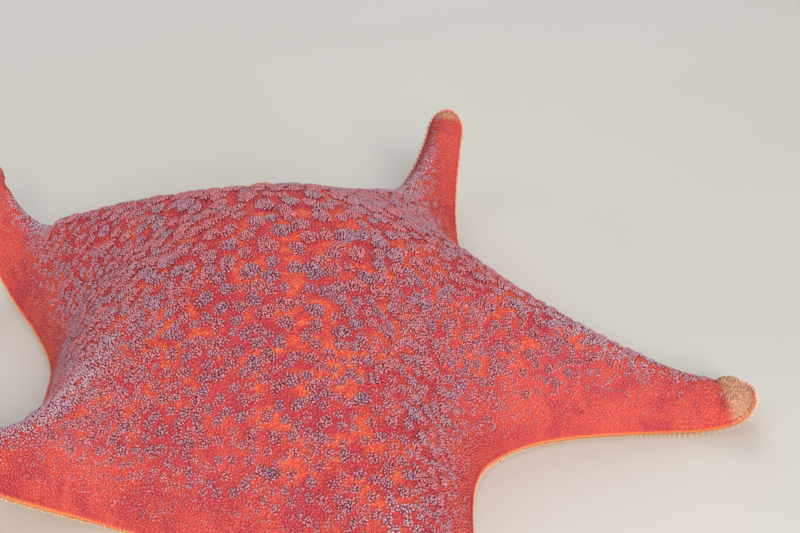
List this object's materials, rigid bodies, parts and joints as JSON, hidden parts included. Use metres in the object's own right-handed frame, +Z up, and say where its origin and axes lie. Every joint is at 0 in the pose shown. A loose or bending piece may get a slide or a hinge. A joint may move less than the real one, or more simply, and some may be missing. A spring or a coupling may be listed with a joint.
{
  "type": "bat star",
  "caption": "Life-size still model of a live bat star, a webbed sea star, lying flat with its arm tips curled up, granular plates above and grooves with tube feet below.",
  "frame": {"origin": "middle of the footprint's box, on the floor that the star lies on", "axes": "+Z up out of the star's upper side; +X is close to the right arm, +Y points away from the viewer of the picture, near the back arm"},
  "size_m": [0.1284, 0.1374, 0.0315],
  "materials": {
    "skin": "moist red to orange skin of the upper side, satin",
    "granules": "fine limy granules in mauve-grey tufts, matt",
    "tips": "pale peach skin of the arm tips, satin",
    "rim_fringe": "cream spinelets along the margin, matt",
    "underside": "cream-orange granular underside, matt",
    "tube_feet": "pale translucent tube feet, moist",
    "madreporite": "grooved limy sieve plate, matt"
  },
  "bodies": {
    "root": {"disc": "skin", "arm_right": "skin", "arm_back": "skin", "arm_left_back": "skin", "arm_left_front": "skin", "arm_front": "skin", "tip_right": "tips", "tip_back": "tips", "tip_left_back": "tips", "tip_left_front": "tips", "tip_front": "tips", "madreporite": "madreporite"}
  },
  "joints": []
}
